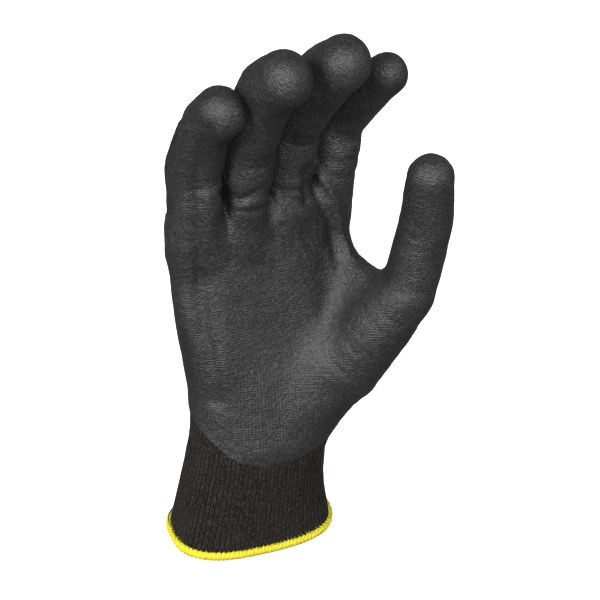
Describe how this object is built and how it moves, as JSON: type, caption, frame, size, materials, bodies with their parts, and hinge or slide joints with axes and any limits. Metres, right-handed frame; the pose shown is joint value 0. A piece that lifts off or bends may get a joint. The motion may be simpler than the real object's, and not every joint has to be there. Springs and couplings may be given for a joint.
{
  "type": "cut resistant glove",
  "caption": "Right-hand knitted work glove with a dipped palm coating, ribbed elastic cuff and overlocked hem; stalls, thumb and wrist bend.",
  "frame": {"origin": "centre of the hand opening, in the plane of the cuff's hem", "axes": "+Z from the hem to the fingertips, -Y towards the palm side, +X towards the thumb side"},
  "size_m": [0.1102, 0.0663, 0.2404],
  "materials": {
    "knit": "matte ribbed knit",
    "coating": "semi-matte dipped skin",
    "elastic_yarn": "matte yarn",
    "overlock_thread": "matte bright thread"
  },
  "bodies": {
    "cuff": {"cuff_rib_knit": "knit", "hem_overlock": "overlock_thread", "cuff_elastic_01": "elastic_yarn", "cuff_elastic_02": "elastic_yarn", "cuff_elastic_03": "elastic_yarn", "cuff_elastic_04": "elastic_yarn", "cuff_elastic_05": "elastic_yarn", "cuff_elastic_06": "elastic_yarn"},
    "palm": {"palm_knit": "knit", "palm_coating": "coating"},
    "little_base": {"little_knit_base": "knit", "little_coating_base": "coating"},
    "little_middle": {"little_knit_middle": "knit", "little_coating_middle": "coating"},
    "little_tip": {"little_knit_tip": "knit", "little_coating_tip": "coating"},
    "ring_base": {"ring_knit_base": "knit", "ring_coating_base": "coating"},
    "ring_middle": {"ring_knit_middle": "knit", "ring_coating_middle": "coating"},
    "ring_tip": {"ring_knit_tip": "knit", "ring_coating_tip": "coating"},
    "middle_base": {"middle_knit_base": "knit", "middle_coating_base": "coating"},
    "middle_middle": {"middle_knit_middle": "knit", "middle_coating_middle": "coating"},
    "middle_tip": {"middle_knit_tip": "knit", "middle_coating_tip": "coating"},
    "index_base": {"index_knit_base": "knit", "index_coating_base": "coating"},
    "index_middle": {"index_knit_middle": "knit", "index_coating_middle": "coating"},
    "index_tip": {"index_knit_tip": "knit", "index_coating_tip": "coating"},
    "thumb_base": {"thumb_knit_base": "knit", "thumb_coating_base": "coating"},
    "thumb_tip": {"thumb_knit_tip": "knit", "thumb_coating_tip": "coating"}
  },
  "joints": [
    {"name": "wrist_bend", "type": "hinge", "parent": "cuff", "child": "palm", "pos_m": [0, 0, 0.052], "axis": [1, 0, 0], "range_deg": [-25, 45]},
    {"name": "little_base_bend", "type": "hinge", "parent": "palm", "child": "little_base", "pos_m": [-0.03149, 0.02126, 0.16192], "axis": [0.9686, 0.2361, 0.0777], "range_deg": [-18, 45]},
    {"name": "little_middle_bend", "type": "hinge", "parent": "little_base", "child": "little_middle", "pos_m": [-0.03289, 0.02187, 0.17753], "axis": [0.9686, 0.2361, 0.0777], "range_deg": [-21, 50]},
    {"name": "little_tip_bend", "type": "hinge", "parent": "little_middle", "child": "little_tip", "pos_m": [-0.0329, 0.01471, 0.19938], "axis": [0.9686, 0.2361, 0.0777], "range_deg": [-10.5, 25]},
    {"name": "ring_base_bend", "type": "hinge", "parent": "palm", "child": "ring_base", "pos_m": [-0.01031, 0.02036, 0.16611], "axis": [0.9775, 0.2103, 0.0144], "range_deg": [-18, 45]},
    {"name": "ring_middle_bend", "type": "hinge", "parent": "ring_base", "child": "ring_middle", "pos_m": [-0.01056, 0.02012, 0.18667], "axis": [0.9775, 0.2103, 0.0144], "range_deg": [-20, 50]},
    {"name": "ring_tip_bend", "type": "hinge", "parent": "ring_middle", "child": "ring_tip", "pos_m": [-0.00872, 0.00958, 0.21523], "axis": [0.9775, 0.2103, 0.0144], "range_deg": [-10, 25]},
    {"name": "middle_base_bend", "type": "hinge", "parent": "palm", "child": "middle_base", "pos_m": [0.01159, 0.02689, 0.1684], "axis": [0.9816, 0.1843, -0.0494], "range_deg": [-18, 45]},
    {"name": "middle_middle_bend", "type": "hinge", "parent": "middle_base", "child": "middle_middle", "pos_m": [0.01275, 0.02662, 0.19045], "axis": [0.9816, 0.1843, -0.0494], "range_deg": [-26, 50]},
    {"name": "middle_tip_bend", "type": "hinge", "parent": "middle_middle", "child": "middle_tip", "pos_m": [0.01671, 0.01291, 0.21797], "axis": [0.9816, 0.1843, -0.0494], "range_deg": [-13, 25]},
    {"name": "index_base_bend", "type": "hinge", "parent": "palm", "child": "index_base", "pos_m": [0.03363, 0.03109, 0.16781], "axis": [0.9846, 0.1311, -0.1153], "range_deg": [-18, 36]},
    {"name": "index_middle_bend", "type": "hinge", "parent": "index_base", "child": "index_middle", "pos_m": [0.03564, 0.03207, 0.1861], "axis": [0.9846, 0.1311, -0.1153], "range_deg": [-35, 50]},
    {"name": "index_tip_bend", "type": "hinge", "parent": "index_middle", "child": "index_tip", "pos_m": [0.04016, 0.01792, 0.20865], "axis": [0.9846, 0.1311, -0.1153], "range_deg": [-17.5, 25]},
    {"name": "thumb_base_open", "type": "hinge", "parent": "palm", "child": "thumb_base", "pos_m": [0.05442, -0.01248, 0.13265], "axis": [-0.3682, 0.9296, 0.0142], "range_deg": [-40, 15]},
    {"name": "thumb_tip_open", "type": "hinge", "parent": "thumb_base", "child": "thumb_tip", "pos_m": [0.0572, -0.01179, 0.15983], "axis": [-0.3682, 0.9296, 0.0142], "range_deg": [-50, 20]}
  ],
  "couplings": [
    {"joint": "little_tip_bend", "follows": "little_middle_bend", "ratio": 0.5},
    {"joint": "ring_tip_bend", "follows": "ring_middle_bend", "ratio": 0.5},
    {"joint": "middle_tip_bend", "follows": "middle_middle_bend", "ratio": 0.5},
    {"joint": "index_tip_bend", "follows": "index_middle_bend", "ratio": 0.5}
  ]
}
